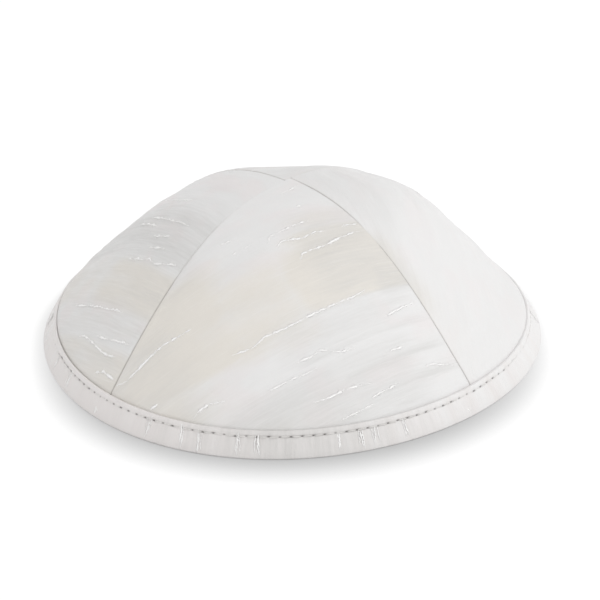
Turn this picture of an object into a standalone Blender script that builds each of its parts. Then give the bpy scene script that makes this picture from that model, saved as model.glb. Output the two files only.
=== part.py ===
"""Four-panel skullcap with a folded binding sewn round its rim, standing on that rim.

Metres, +Z up. The origin is on the floor at the middle of the rim, and the front panel faces -Y.
An azimuth is counted from the front, -Y, towards +X.
"""

from collections import namedtuple
from math import atan2, cos, pi, radians, sin, sqrt

import bmesh
import bpy
import numpy as np

# Overall size
RIM_RADIUS = 0.0855  # outer face of the binding, carried down to the floor
CAP_HEIGHT = 0.0548  # floor to crown
CROWN_LEAN = 0.0012  # how far the crown stands towards +X

# Cloth
PANEL_WALL = 0.0012  # a panel's outer cloth and its backing
BINDING_WALL = 0.001  # one leaf of the binding
CLEARANCE = 0.0003  # between one piece and the next

# Binding: a strip folded round the panels' lower edges, with a leaf outside and a leaf inside
BINDING_HEIGHT = 0.0075
BINDING_LEAN = 0.004  # its upper edge stands this much nearer the axis than its foot
INNER_LEAF_DROP = 0.0013  # the inner leaf ends this much lower than the outer one
FOOT_ROUND = 0.0006  # radius of the fold at the floor
BINDING_STEPS = 80
ARC_STEPS = 4

# Dome
RISE_POWER = 2.0  # height falls with this power of the distance from the crown
RIDGE = 0.9  # how far a panel's corners stand out near the crown: 0 is round, 1 is square
RIDGE_FADE = 2.6  # how fast that dies away towards the rim
CROWN_STEP = 0.0026  # the two short seams meet the long one this far apart
STEP_FADE = 4.0  # how fast that shift dies away from the crown
CROWN_HOLE = 0.0006  # radius at which the panels' tips end
SWELL = 0.0044  # largest push of a panel's middle out of the even dome
SWELL_PEAK = 0.47  # where it is largest: share of the way out from the crown to the binding
SWELL_SHARPNESS = 6.0
RIDGE_SPREAD = 0.11  # lean of a wall's inner edge across its seam, as a share of the wall

# Grid of a panel
ACROSS = 24
ALONG = 18
HEM_ROWS = 2

Panel = namedtuple("Panel", "name azimuth swell half")
PANELS = (
    # swell is a share of SWELL; half is the pair that a panel is sewn into first
    Panel("front_panel", 0.0, 0.0, 1),
    Panel("right_panel", 90.0, 1.0, 1),
    Panel("back_panel", 180.0, -0.43, -1),
    Panel("left_panel", 270.0, 0.18, -1),
)

Finish = namedtuple("Finish", "name colour roughness sheen")
PANEL_FINISH = Finish("ivory_satin", (0.83, 0.81, 0.78, 1.0), 0.5, 0.3)
BINDING_FINISH = Finish("ivory_binding", (0.80, 0.77, 0.73, 1.0), 0.55, 0.3)

LEAN_ANGLE = atan2(BINDING_LEAN, BINDING_HEIGHT)  # of the binding, from upright
PANEL_DEPTH = BINDING_WALL + CLEARANCE  # from the binding's outer face in to the panels
INNER_LEAF_DEPTH = PANEL_DEPTH + PANEL_WALL + CLEARANCE
BINDING_DEPTH = INNER_LEAF_DEPTH + BINDING_WALL
SEAM_GAP = CLEARANCE + 2 * PANEL_WALL * RIDGE_SPREAD
HEM_HEIGHT = BINDING_WALL + 2 * CLEARANCE + PANEL_WALL * sin(LEAN_ANGLE)
QUARTER = pi / 4  # from a panel's middle to its seam


def layer_radius(depth, height):
    """Distance from the axis of a layer this deep in the binding, at a height."""
    outer = RIM_RADIUS - BINDING_LEAN * height / BINDING_HEIGHT
    return outer - depth / cos(LEAN_ANGLE)


PANEL_RADIUS = layer_radius(PANEL_DEPTH, BINDING_HEIGHT)
DOME_HEIGHT = CAP_HEIGHT - BINDING_HEIGHT


def clear_scene():
    for obj in list(bpy.data.objects):
        bpy.data.objects.remove(obj, do_unlink=True)


def material(finish):
    made = bpy.data.materials.new(finish.name)
    made.use_nodes = True
    shader = made.node_tree.nodes["Principled BSDF"]
    shader.inputs["Base Color"].default_value = finish.colour
    shader.inputs["Roughness"].default_value = finish.roughness
    shader.inputs["Metallic"].default_value = 0.0
    shader.inputs["Sheen Weight"].default_value = finish.sheen
    return made


def swell_window(share):
    """A hump along a panel: 1 at SWELL_PEAK, 0 at the crown and at the binding."""
    inner = share / SWELL_PEAK
    outer = (1 - share) / (1 - SWELL_PEAK)
    return (inner**SWELL_PEAK * outer ** (1 - SWELL_PEAK)) ** SWELL_SHARPNESS


def dome_points(panel, across, share):
    """Outer face of a panel, as an array of points.

    across runs from -1 at one seam to 1 at the other. share is the distance from the crown as a
    share of the way to the binding, and past 1 it runs down the hem inside the binding.
    """
    out = np.clip(share, 0.0, 1.0)
    below = np.clip(share - 1.0, 0.0, None)
    squareness = RIDGE * (1 - out) ** RIDGE_FADE
    seam_radius = PANEL_RADIUS * out / cos(QUARTER) ** squareness
    turn = across * (QUARTER - np.arcsin(SEAM_GAP / 2 / seam_radius))
    azimuth = radians(panel.azimuth) + turn

    radius = PANEL_RADIUS * out / np.cos(turn) ** squareness + BINDING_LEAN * below
    height = BINDING_HEIGHT * (1 - below) + DOME_HEIGHT * (1 - out**RISE_POWER)
    push = SWELL * panel.swell * swell_window(out) * np.cos(2 * turn) ** 2 / sqrt(2)
    radius = radius + push
    height = height + push

    # The long seam runs along the diagonal from front left to back right, and each half slides on it.
    slide = panel.half * CROWN_STEP / 2 * (1 - out) ** STEP_FADE * sqrt(0.5)
    x_way, y_way = np.sin(azimuth), -np.cos(azimuth)
    slope = -DOME_HEIGHT * RISE_POWER * out ** (RISE_POWER - 1) / PANEL_RADIUS
    height = height + slope * (x_way + y_way) * slide
    x = radius * x_way + slide + CROWN_LEAN * (1 - out)
    y = radius * y_way + slide
    return np.stack([x, y, height], axis=-1)


def panel_rows():
    """Shares of the rows of a panel's grid, from the hem's lower edge up to the crown."""
    hem_end = 2 - HEM_HEIGHT / BINDING_HEIGHT
    hem = np.linspace(hem_end, 1.0, HEM_ROWS + 1)
    dome = np.linspace(1.0, CROWN_HOLE / PANEL_RADIUS, ALONG + 1)
    return np.concatenate([hem, dome[1:]])


def make_panel(panel, finish, home):
    """A gore: a grid bent to the dome, thickened inwards."""
    rows = panel_rows()
    shape = bmesh.new()
    bmesh.ops.create_grid(shape, x_segments=ACROSS, y_segments=len(rows) - 1, size=1.0)
    flat = np.array([vertex.co[:2] for vertex in shape.verts])
    row_places = np.linspace(-1.0, 1.0, len(rows))
    share = np.interp(flat[:, 1], row_places, rows)
    for vertex, point in zip(shape.verts, dome_points(panel, flat[:, 0], share)):
        vertex.co = point
    mesh = bpy.data.meshes.new(panel.name)
    shape.to_mesh(mesh)
    shape.free()
    mesh.shade_smooth()
    mesh.materials.append(finish)
    obj = bpy.data.objects.new(panel.name, mesh)
    home.objects.link(obj)
    wall = obj.modifiers.new("wall", "SOLIDIFY")
    wall.thickness = PANEL_WALL
    wall.offset = -1.0
    wall.use_even_offset = True
    return obj


def arc(centre, radius, start, end):
    """Points of an arc, from one angle to another, counted from outwards towards up."""
    angles = np.linspace(start, end, ARC_STEPS + 1)
    return [(centre[0] + radius * cos(a), centre[1] + radius * sin(a)) for a in angles]


def binding_profile():
    """Section of the folded strip as (distance from the axis, height), down its outer side first."""
    leaf_round = BINDING_WALL / 2
    out_way, in_way = LEAN_ANGLE, LEAN_ANGLE + pi
    down = -pi / 2

    def leaf_end(depth, top):
        height = top - leaf_round
        return layer_radius(depth + leaf_round, height), height

    foot_outer = (layer_radius(FOOT_ROUND, FOOT_ROUND), FOOT_ROUND)
    foot_inner = (layer_radius(BINDING_DEPTH - FOOT_ROUND, FOOT_ROUND), FOOT_ROUND)
    inner_top = BINDING_HEIGHT - INNER_LEAF_DROP
    points = arc(leaf_end(0.0, BINDING_HEIGHT), leaf_round, in_way, out_way)
    points += arc(foot_outer, FOOT_ROUND, out_way, down)
    points += arc(foot_inner, FOOT_ROUND, down, in_way - 2 * pi)
    points += arc(leaf_end(INNER_LEAF_DEPTH, inner_top), leaf_round, in_way, out_way)
    points.append((layer_radius(INNER_LEAF_DEPTH, BINDING_WALL), BINDING_WALL))
    points.append((layer_radius(BINDING_WALL, BINDING_WALL), BINDING_WALL))
    return points


def make_binding(name, finish, home):
    """The binding: its section carried once round the axis."""
    points = [(distance, 0.0, height) for distance, height in binding_profile()]
    edges = [(i, (i + 1) % len(points)) for i in range(len(points))]
    mesh = bpy.data.meshes.new(name)
    mesh.from_pydata(points, edges, [])
    mesh.materials.append(finish)
    obj = bpy.data.objects.new(name, mesh)
    home.objects.link(obj)
    turned = obj.modifiers.new("turned", "SCREW")
    turned.axis = "Z"
    turned.angle = 2 * pi
    turned.steps = BINDING_STEPS
    turned.render_steps = BINDING_STEPS
    turned.use_merge_vertices = True
    turned.merge_threshold = 0.00001
    turned.use_smooth_shade = True
    return obj


def build():
    clear_scene()
    home = bpy.data.collections.new("kippah_skullcap")
    bpy.context.scene.collection.children.link(home)
    satin = material(PANEL_FINISH)
    for panel in PANELS:
        make_panel(panel, satin, home)
    make_binding("rim_binding", material(BINDING_FINISH), home)


build()
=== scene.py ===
# %% [markdown]
# # A four-panel satin skullcap
#
# The cap is four curved triangles of slubbed ivory satin, sewn into two halves. The halves meet along
# one long seam over the crown, and a strip of the same satin is folded round the raw lower edge and
# topstitched. This lesson dresses the packed CAD model, which gives the true size and place of each
# piece, in cloth that shows its seams, stitches, slubs and sheen.
#
# Blender could cover the solids with a picture of cloth. Here every piece is worked out from formulas
# with numpy instead, so that folds and threads are real shapes from every side.

# %% The frame
from collections import namedtuple
from math import atan2, cos, pi, radians, sin, sqrt, tau

import bpy
import numpy as np
from mathutils import Matrix, Vector


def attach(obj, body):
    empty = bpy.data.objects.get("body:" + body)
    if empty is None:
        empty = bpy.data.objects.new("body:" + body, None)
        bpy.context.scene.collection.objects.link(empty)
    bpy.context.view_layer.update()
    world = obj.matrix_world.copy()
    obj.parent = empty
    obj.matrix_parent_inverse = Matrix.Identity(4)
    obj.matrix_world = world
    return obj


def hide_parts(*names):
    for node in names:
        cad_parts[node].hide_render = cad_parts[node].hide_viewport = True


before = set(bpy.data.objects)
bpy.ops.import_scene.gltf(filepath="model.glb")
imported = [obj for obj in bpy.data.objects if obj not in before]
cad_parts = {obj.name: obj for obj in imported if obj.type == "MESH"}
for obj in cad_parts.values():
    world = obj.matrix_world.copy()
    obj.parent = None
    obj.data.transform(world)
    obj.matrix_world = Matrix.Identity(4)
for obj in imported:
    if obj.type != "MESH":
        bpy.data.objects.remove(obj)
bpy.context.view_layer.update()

print("nodes:", sorted(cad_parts))

# %% [markdown]
# ## Sizes
#
# All lengths are metres. The first group repeats what the solids were made from, because the cloth
# has to lie exactly where they are. The second group belongs to the cloth alone: how thick it is,
# how tightly it turns at a seam, and how wide an allowance is folded in there.

# %% Sizes
MM = 0.001
RIM_RADIUS = 85.5 * MM
CAP_HEIGHT = 54.8 * MM
CROWN_LEAN = 1.2 * MM
BINDING_HEIGHT = 7.5 * MM
BINDING_LEAN = 4.0 * MM
BINDING_WALL = 1.0 * MM
PANEL_WALL = 1.2 * MM
CLEARANCE = 0.3 * MM
INNER_LEAF_DROP = 1.3 * MM
FOOT_ROUND = 0.6 * MM
RIDGE = 0.9
RIDGE_FADE = 2.6
CROWN_STEP = 2.6 * MM
STEP_FADE = 4.0
SWELL = 4.4 * MM
SWELL_PEAK = 0.47
SWELL_SHARPNESS = 6.0

CLOTH = 0.28 * MM
FOLD_RADIUS = 0.32 * MM
ALLOWANCE = 5.0 * MM
SEAM_GAP = 0.04 * MM

QUARTER = pi / 4
LEAN_ANGLE = atan2(BINDING_LEAN, BINDING_HEIGHT)
PANEL_DEPTH = BINDING_WALL + CLEARANCE
INNER_LEAF_DEPTH = PANEL_DEPTH + PANEL_WALL + CLEARANCE
BINDING_DEPTH = INNER_LEAF_DEPTH + BINDING_WALL
HEM_HEIGHT = BINDING_WALL + 2 * CLEARANCE + PANEL_WALL * sin(LEAN_ANGLE)


def layer_radius(depth, height):
    """Distance from the axis of a layer in the binding: its leaning outer face, less the depth."""
    outer = RIM_RADIUS - BINDING_LEAN * height / BINDING_HEIGHT
    return outer - depth / cos(LEAN_ANGLE)


PANEL_RADIUS = layer_radius(PANEL_DEPTH, BINDING_HEIGHT)
DOME_HEIGHT = CAP_HEIGHT - BINDING_HEIGHT
print(f"dome: {PANEL_RADIUS / MM:.2f} mm radius, {DOME_HEIGHT / MM:.2f} mm high above the binding")

# %% [markdown]
# ## Uneven rim and dome
#
# A sewn rim isn't a true circle, and a soft dome bulges a little here and there. Both are too slight
# for the solids, so the cloth adds them: the rim as a few cosines and sines round it, which meet
# themselves after one turn, and each bulge as a smooth bump.

# %% Uneven rim and dome
# Rows of (turns round the rim, cosine part, sine part), the parts in millimetres
RIM_PLAN = np.array([(2, 0.87, 0.88), (3, -0.08, -1.03), (4, 0.25, -0.11)])
# Rows of (azimuth, narrowness, share, half width as a share, push in millimetres)
BULGES = [(115, 25, 0.5, 0.13, 0.7), (250, 60, 0.92, 0.05, 0.7), (107, 40, 0.88, 0.08, 0.35)]


def rim_plan(azimuth):
    """How far the rim stands outside its circle: a sum of a few cosines and sines round it."""
    turns = RIM_PLAN[:, 0] * np.asarray(azimuth)[..., None]
    return (RIM_PLAN[:, 1] * np.cos(turns) + RIM_PLAN[:, 2] * np.sin(turns)).sum(axis=-1) * MM


def near_azimuth(azimuth, degrees, narrowness):
    """A soft bump round the rim, 1 at an azimuth: e^(k (cos(difference) - 1))."""
    return np.exp(narrowness * (np.cos(azimuth - radians(degrees)) - 1))


def bulge(azimuth, share):
    """Sum of the bulges: a bump round the rim times e^-(d/w)² down the panel, 0 at the binding."""
    total = 0.0
    for degrees, narrowness, middle, width, size in BULGES:
        down = np.exp(-(((share - middle) / width) ** 2))
        total = total + size * MM * near_azimuth(azimuth, degrees, narrowness) * down
    return total * (1 - share**12)


round_the_rim = np.linspace(0, tau, 721)
print(f"rim: {rim_plan(round_the_rim).min() / MM:.1f} to {rim_plan(round_the_rim).max() / MM:.1f} mm off its circle")

# %% [markdown]
# ## The dome
#
# Each panel is one quarter of the dome, from the crown down into the binding. A point on it has a
# turn, the angle from the panel's middle line, and a share, which is 0 at the crown and 1 at the
# binding. The front and right panels are one half of the cap, the back and left ones the other, and
# the halves meet a little out of step, as they do when two sewn halves are joined by eye.

# %% The dome
Panel = namedtuple("Panel", "name azimuth swell half grain columns seed streaks")
PANELS = {
    "front": Panel("front_panel", 0.0, 0.0, 1, 28.0, 190, 3, 0.8),
    "right": Panel("right_panel", 90.0, 1.0, 1, 30.0, 160, 5, 0.45),
    "back": Panel("back_panel", 180.0, -0.43, -1, 31.0, 130, 8, 0.8),
    "left": Panel("left_panel", 270.0, 0.18, -1, 40.0, 170, 13, 1.0),
}


def swell_window(share):
    """A hump along a panel: (s/p)^p times ((1-s)/(1-p))^(1-p), raised to a power that narrows it."""
    inner = share / SWELL_PEAK
    outer = (1 - share) / (1 - SWELL_PEAK)
    return (inner**SWELL_PEAK * outer ** (1 - SWELL_PEAK)) ** SWELL_SHARPNESS


def seam_radius(share):
    """Distance from the crown's axis at a seam: the round radius over cos(45 degrees)^squareness."""
    out = np.clip(share, 0.0, 1.0)
    return PANEL_RADIUS * out / cos(QUARTER) ** (RIDGE * (1 - out) ** RIDGE_FADE)


def dome(panel, turn, share):
    """Outer face: a paraboloid of height 1 - share squared, squared off towards the crown.

    Past a share of 1 it runs down the hem along the binding's lean. Swell and bulges push it out,
    the rim's plan is added with the cube of the share, and the slide moves its half of the cap
    along the long seam near the crown.
    """
    out = np.clip(share, 0.0, 1.0)
    below = np.clip(share - 1.0, 0.0, None)
    squareness = RIDGE * (1 - out) ** RIDGE_FADE
    azimuth = radians(panel.azimuth) + turn
    push = SWELL * panel.swell * swell_window(out) * np.cos(2 * turn) ** 2 / sqrt(2)
    push = push + bulge(azimuth, out)
    radius = PANEL_RADIUS * out / np.cos(turn) ** squareness + BINDING_LEAN * below + push
    radius = radius + rim_plan(azimuth) * out**3
    height = BINDING_HEIGHT * (1 - below) + DOME_HEIGHT * (1 - out**2) + push
    slide = panel.half * CROWN_STEP / 2 * (1 - out) ** STEP_FADE * sqrt(0.5)
    x_way, y_way = np.sin(azimuth), -np.cos(azimuth)
    height = height - 2 * DOME_HEIGHT * out / PANEL_RADIUS * (x_way + y_way) * slide
    x = radius * x_way + slide + CROWN_LEAN * (1 - out)
    y = radius * y_way + slide
    return np.stack([x, y, height], axis=-1)


def unit(vectors):
    """Each vector divided by its length."""
    return vectors / np.linalg.norm(vectors, axis=-1, keepdims=True)


def dome_normal(panel, turn, share):
    """Outward normal: the cross product of a small step in turn and a small step towards the crown."""
    step = 1e-4
    side = dome(panel, turn + step, share) - dome(panel, turn - step, share)
    up = dome(panel, turn, share - step) - dome(panel, turn, share + step)
    return unit(np.cross(side, up))


for panel in PANELS.values():
    middle = dome(panel, np.zeros(3), np.array([1.0, 0.5, 0.001]))
    print(panel.name, "middle line, mm:", np.round(middle / MM, 1).tolist())

# %% [markdown]
# ## The flat cut
#
# Cloth is woven flat, so threads, slubs and tints are laid out on the flat cut and then carried to
# the dome. The cut is an unrolled cone: a point keeps its distance from the crown, measured along
# the parabola, and its distance from the middle line, measured round the cap. X runs across the
# cut, Y up from the middle of its hem.

# %% The flat cut
STEEPNESS = 2 * DOME_HEIGHT / PANEL_RADIUS


def crown_distance(share):
    """Length of the parabola from the crown: R/2 times (s sqrt(1 + a²s²) + asinh(a s)/a)."""
    bend = STEEPNESS * share
    return PANEL_RADIUS / 2 * (share * np.sqrt(1 + bend**2) + np.arcsinh(bend) / STEEPNESS)


CUT_LENGTH = float(crown_distance(np.array(1.0)))
SHARE_TABLE = np.linspace(0.0, 1.0, 600)
DISTANCE_TABLE = crown_distance(SHARE_TABLE)


def to_cut(turn, share):
    """Dome to cut: polar coordinates round the crown, with the arc's length kept."""
    distance = crown_distance(share)
    angle = turn * PANEL_RADIUS * share / distance
    return distance * np.sin(angle), CUT_LENGTH - distance * np.cos(angle)


def from_cut(x, y):
    """Cut to dome: the distance from the crown gives the share, the arc's length the turn."""
    distance = np.hypot(x, CUT_LENGTH - y)
    share = np.interp(distance, DISTANCE_TABLE, SHARE_TABLE)
    turn = np.arctan2(x, CUT_LENGTH - y) * distance / (PANEL_RADIUS * share)
    return turn, share


corner_x, corner_y = to_cut(np.array(QUARTER), np.array(1.0))
print(f"cut: {CUT_LENGTH / MM:.1f} mm long, {2 * corner_x / MM:.1f} mm wide without allowances")

# %% [markdown]
# ## Waves, rolls and creases
#
# Sewn cloth is never as even as a formula. Long waves with seeded random directions make each panel
# slightly uneven. Beside a seam the allowance underneath lifts the cloth in a low, puckered roll, and
# at both ends of the rim the cloth stands out over the binding. A cloth simulation could do this
# too, but such a small cap is stiff with backing, and waves in code stay the same in each run. How
# sharply a seam is creased differs along it, so each seam has its own short chart.

# %% Waves, rolls and creases
WAVE_COUNT = 9
WAVE_HEIGHT = 0.05 * MM
ROLL_HEIGHT = 0.1 * MM
ROLL_PLACE = 1.3 * MM
ROLL_WIDTH = 0.8 * MM
PUCKER = 3.1 * MM
OVERHANG = 0.7 * MM
OVERHANG_PLACES = [(85, 4, 1.0), (-100, 8, 1.0), (3, 25, 0.4)]  # (azimuth, narrowness, part of OVERHANG)
# Crease of each seam, named by its azimuth, as (share, firmness) from the crown to the binding
SEAM_CREASE = {
    45: [(0, 0.5), (0.1, 1.2), (0.28, 1), (0.36, 0.5), (0.4, 0.02), (0.46, 0.02), (0.5, 0.48), (0.7, 0.58), (1, 0.8)],
    135: [(0, 0.04), (0.5, 0.15), (1, 0.7)],
    225: [(0, 0.8), (0.1, 1), (0.2, 1.2), (0.5, 1), (1, 1)],
    315: [(0, 0.04), (0.28, 0.08), (0.4, 0.5), (0.6, 0.6), (0.66, 1.2), (0.8, 1), (1, 1.3)],
}


def smooth(value, low, high):
    """0 below low, 1 above high, and 3t² - 2t³ between them."""
    t = np.clip((value - low) / (high - low), 0.0, 1.0)
    return t * t * (3 - 2 * t)


def along_grain(panel, x, y):
    """Turns cut coordinates so that the first runs along the slubs and the second across them."""
    angle = radians(panel.grain)
    return x * cos(angle) + y * sin(angle), y * cos(angle) - x * sin(angle)


def edge_distance(turn, share):
    """Distance of a point of the face from the nearer seam, measured straight across."""
    return seam_radius(share) * np.sin(np.clip(QUARTER - np.abs(turn), 0.0, 1.0))


def firmness(panel, turn, share):
    """How sharply the nearer seam is creased there, from its row in SEAM_CREASE."""
    side = np.broadcast_to(turn >= 0, np.broadcast_shapes(np.shape(turn), np.shape(share)))
    after, before = (int(panel.azimuth + way * 45) % 360 for way in (1, -1))
    creases = [np.interp(share, *np.array(SEAM_CREASE[seam]).T) for seam in (after, before)]
    return np.where(side, *creases)


def waves(panel, turn, share):
    """A sum of sines over the cut, faded out at the edges, plus the roll e^-(d/w)² beside a seam."""
    random = np.random.default_rng(panel.seed)
    x, y = to_cut(turn, np.clip(share, 0.001, 1.0))
    along, across = along_grain(panel, x, y)
    total = np.zeros_like(along)
    for _ in range(WAVE_COUNT):
        long_way, cross_way = random.uniform(30, 80) * MM, random.uniform(7, 26) * MM
        phase = random.uniform(0, tau)
        tilt = random.choice([-1, 1])
        total += np.sin(tau * (along / long_way + tilt * across / cross_way) + phase)
    edge = edge_distance(turn, share)
    fade = smooth(edge, 0.5 * MM, 7 * MM) * smooth(1 - share, 0.0, 0.12) * smooth(share, 0.03, 0.2)
    down = crown_distance(np.clip(share, 0.0, 1.0))
    pucker = 0.5 * np.sin(tau * down / PUCKER + panel.seed) + 0.5 * np.sin(tau * down / (1.7 * PUCKER))
    roll = ROLL_HEIGHT * (1 + pucker) * np.exp(-(((edge - ROLL_PLACE) / ROLL_WIDTH) ** 2))
    roll = roll * firmness(panel, turn, share) * smooth(share, 0.08, 0.25)
    return WAVE_HEIGHT * total * fade + roll * smooth(1 - share, 0.0, 0.05)


def overhang(panel, turn, share):
    """How far the cloth stands out just above the binding, so that it closes the crease there."""
    azimuth = radians(panel.azimuth) + turn
    places = sum(size * near_azimuth(azimuth, degrees, k) for degrees, k, size in OVERHANG_PLACES)
    rise = smooth(share, 0.9, 0.985) * (1 - smooth(share, 1.0, 1.25))
    return OVERHANG * np.minimum(places, 1.0) * rise


def on_cloth(panel, turn, share, lift=0.0):
    """A point lifted off the panel's face: the dome plus its normal times the heights above."""
    height = waves(panel, turn, share) + overhang(panel, turn, share) + lift
    return dome(panel, turn, share) + height[..., None] * dome_normal(panel, turn, share)


mid_turn, mid_share = np.meshgrid(np.linspace(-0.5, 0.5, 60), np.linspace(0.3, 0.8, 60))
for panel in PANELS.values():
    print(f"{panel.name}: waves up to {np.abs(waves(panel, mid_turn, mid_share)).max() / MM:.2f} mm")

# %% [markdown]
# ## A mesh from arrays
#
# Every piece below is a grid of points, worked out as whole arrays. This helper joins neighbouring
# points into four-sided faces, closes the grid where it goes all the way round, and writes the
# points with foreach_set, which is far faster than adding vertices one by one.

# %% A mesh from arrays
home = bpy.data.collections.new("cloth_pieces")
bpy.context.scene.collection.children.link(home)


def grid_faces(rows, columns, closed_rows=False, closed_columns=False, start=0):
    """Quads of a grid: each joins a point to its neighbours in the next column and row."""
    row = np.arange(rows if closed_rows else rows - 1)[:, None]
    column = np.arange(columns if closed_columns else columns - 1)[None, :]
    next_row, next_column = (row + 1) % rows, (column + 1) % columns
    corners = [
        row * columns + column,
        row * columns + next_column,
        next_row * columns + next_column,
        next_row * columns + column,
    ]
    return start + np.stack([np.broadcast_to(c, corners[1].shape) for c in corners], -1).reshape(-1, 4)


def make_mesh(name, points, faces, values=None, cut=None):
    """Writes points and quads into a mesh, with named values and a cut map for its points."""
    points = np.ascontiguousarray(points.reshape(-1, 3), dtype=np.float32)
    mesh = bpy.data.meshes.new(name)
    mesh.vertices.add(len(points))
    mesh.vertices.foreach_set("co", points.ravel())
    mesh.loops.add(faces.size)
    mesh.loops.foreach_set("vertex_index", faces.ravel().astype(np.int32))
    mesh.polygons.add(len(faces))
    mesh.polygons.foreach_set("loop_start", np.arange(0, faces.size, 4, dtype=np.int32))
    mesh.update(calc_edges=True)
    mesh.validate()
    for key, value in (values or {}).items():
        layer = mesh.attributes.new(key, "FLOAT", "POINT")
        layer.data.foreach_set("value", value.ravel().astype(np.float32))
    if cut is not None:
        layer = mesh.uv_layers.new(name="cut")
        flat = cut.reshape(-1, 2)[faces.ravel()]
        layer.data.foreach_set("uv", flat.ravel().astype(np.float32))
    mesh.shade_smooth()
    obj = bpy.data.objects.new(name, mesh)
    home.objects.link(obj)
    return obj


print("faces of a grid of 3 by 4 points:", len(grid_faces(3, 4)))

# %% [markdown]
# ## Charted slubs
#
# A slub is a thick, fuzzy place in a thread. In this satin the slubs show as short white lines that
# run along the grain. The chart gives the ones that stand out on the front and left panels, in
# millimetres on the cut. The other panels get seeded random ones with the same direction.

# %% Charted slubs
CHART = {
    "front": [
        [(-56.3, 21.6), (-53, 22.2), (-44.2, 28.7), (-39.9, 31.5), (-35.7, 33.1), (-30.7, 35.1)],
        [(-17.7, 24.1), (-11.5, 25.5), (-7.6, 28.9), (-1.8, 31.2), (7.2, 36), (19.5, 42.7), (24.1, 46.4)],
        [(-6.4, 61.8), (-6, 64.9), (6.1, 71.4)],
        [(-3.6, 60.2), (-2.2, 62.8), (4.2, 63.9), (8, 66.8), (11.9, 68.2)],
        [(3.8, 55.2), (4.4, 58), (11.7, 61.8), (20.1, 69.5), (22.3, 70.6)],
        [(16.5, 71.6), (20.3, 73.5)],
        [(30.6, 38), (39.9, 45.3)],
        [(1.5, 20), (7.4, 22.5), (8.9, 24.3), (16, 23.9), (19.7, 25.5)],
        [(-7, 11.6), (8, 18.3)],
        [(7.2, 7.8), (11.4, 9), (17.1, 12.1), (24.8, 14.5)],
        [(25.2, 9.9), (33.9, 15.3)],
        [(15.2, 2.2), (25.6, 7.8)],
        [(-29.8, 5), (-27.8, 7.7), (-24.6, 9.5), (-20.2, 9.6)],
        [(-44, 10.7), (-41.4, 11.9)],
        [(31.6, 25.8), (36.2, 28.4)],
        [(43, 22.7), (45, 23.7), (53.2, 25.3)],
        [(2.5, 78.2), (4, 79)],
        [(-13.8, 61.8), (-12.5, 62.3)],
        [(-17.4, 60.1), (-16.3, 60.7)],
        [(-21.2, 65.2), (-17.5, 65.9)],
        [(-2.8, 85.6), (0.9, 88.3), (2.2, 90.4)],
    ],
    "left": [
        [(10.2, 10.5), (29.3, 27), (32.3, 30.4), (34.9, 32)],
        [(28.2, 11.4), (30.5, 14), (33.6, 16), (42.3, 20.2), (46.4, 22.9), (48.8, 25.9)],
        [(35.6, 19.9), (39.4, 23.1), (48.3, 32.4)],
        [(48.2, 15.9), (49.8, 18.9), (54.9, 22.1)],
        [(13.1, 38.1), (19, 43.8), (20.8, 46.6), (24.6, 48.6), (30.3, 57.1)],
        [(15.3, 47.1), (20.3, 53)],
        [(10.2, 48.7), (15.8, 55.3)],
        [(-6, 42.6), (4.3, 50)],
        [(-4.1, 47.8), (7.9, 56.7), (15.1, 63)],
        [(-17.3, 51.7), (-4.9, 59.1), (0.5, 64.3)],
    ],
}
RANDOM_SLUBS = {"left": (8, -60, -18), "right": (7, 8, 60), "back": (22, -60, 60)}  # (count, from x, to x)


def inside_cut(x, y):
    """True where a point of the cut lies on the panel's face, clear of its seams and hem."""
    turn, share = from_cut(x, y)
    return (np.abs(turn) < QUARTER - 0.03) & (share < 0.985) & (share > 0.12)


def random_slubs(panel, count, left, right):
    """Lines along the grain: a seeded start, length and slight bend, kept where they fit the cut."""
    random = np.random.default_rng(panel.seed + 100)
    lines = []
    while len(lines) < count:
        start = np.array([random.uniform(left, right), random.uniform(2, 80)]) * MM
        length, bend = random.uniform(5, 24) * MM, random.normal(0, 0.05)
        steps = np.linspace(0, 1, 6)
        angle = radians(panel.grain + random.normal(0, 4)) + bend * (steps - 0.5)
        line = start + length * steps[:, None] * np.stack([np.cos(angle), np.sin(angle)], -1)
        if inside_cut(*line.T).all() and line[:, 0].max() < right * MM:
            lines.append(line)
    return lines


SLUBS = {}
for key, panel in PANELS.items():
    charted = [np.array(line) * MM for line in CHART.get(key, [])]
    SLUBS[key] = charted + random_slubs(panel, *RANDOM_SLUBS.get(key, (0, 0, 0)))
    total = sum(np.linalg.norm(np.diff(line, axis=0), axis=1).sum() for line in SLUBS[key])
    print(f"{panel.name}: {len(SLUBS[key])} slubs, {total / MM:.0f} mm in all")
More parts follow.
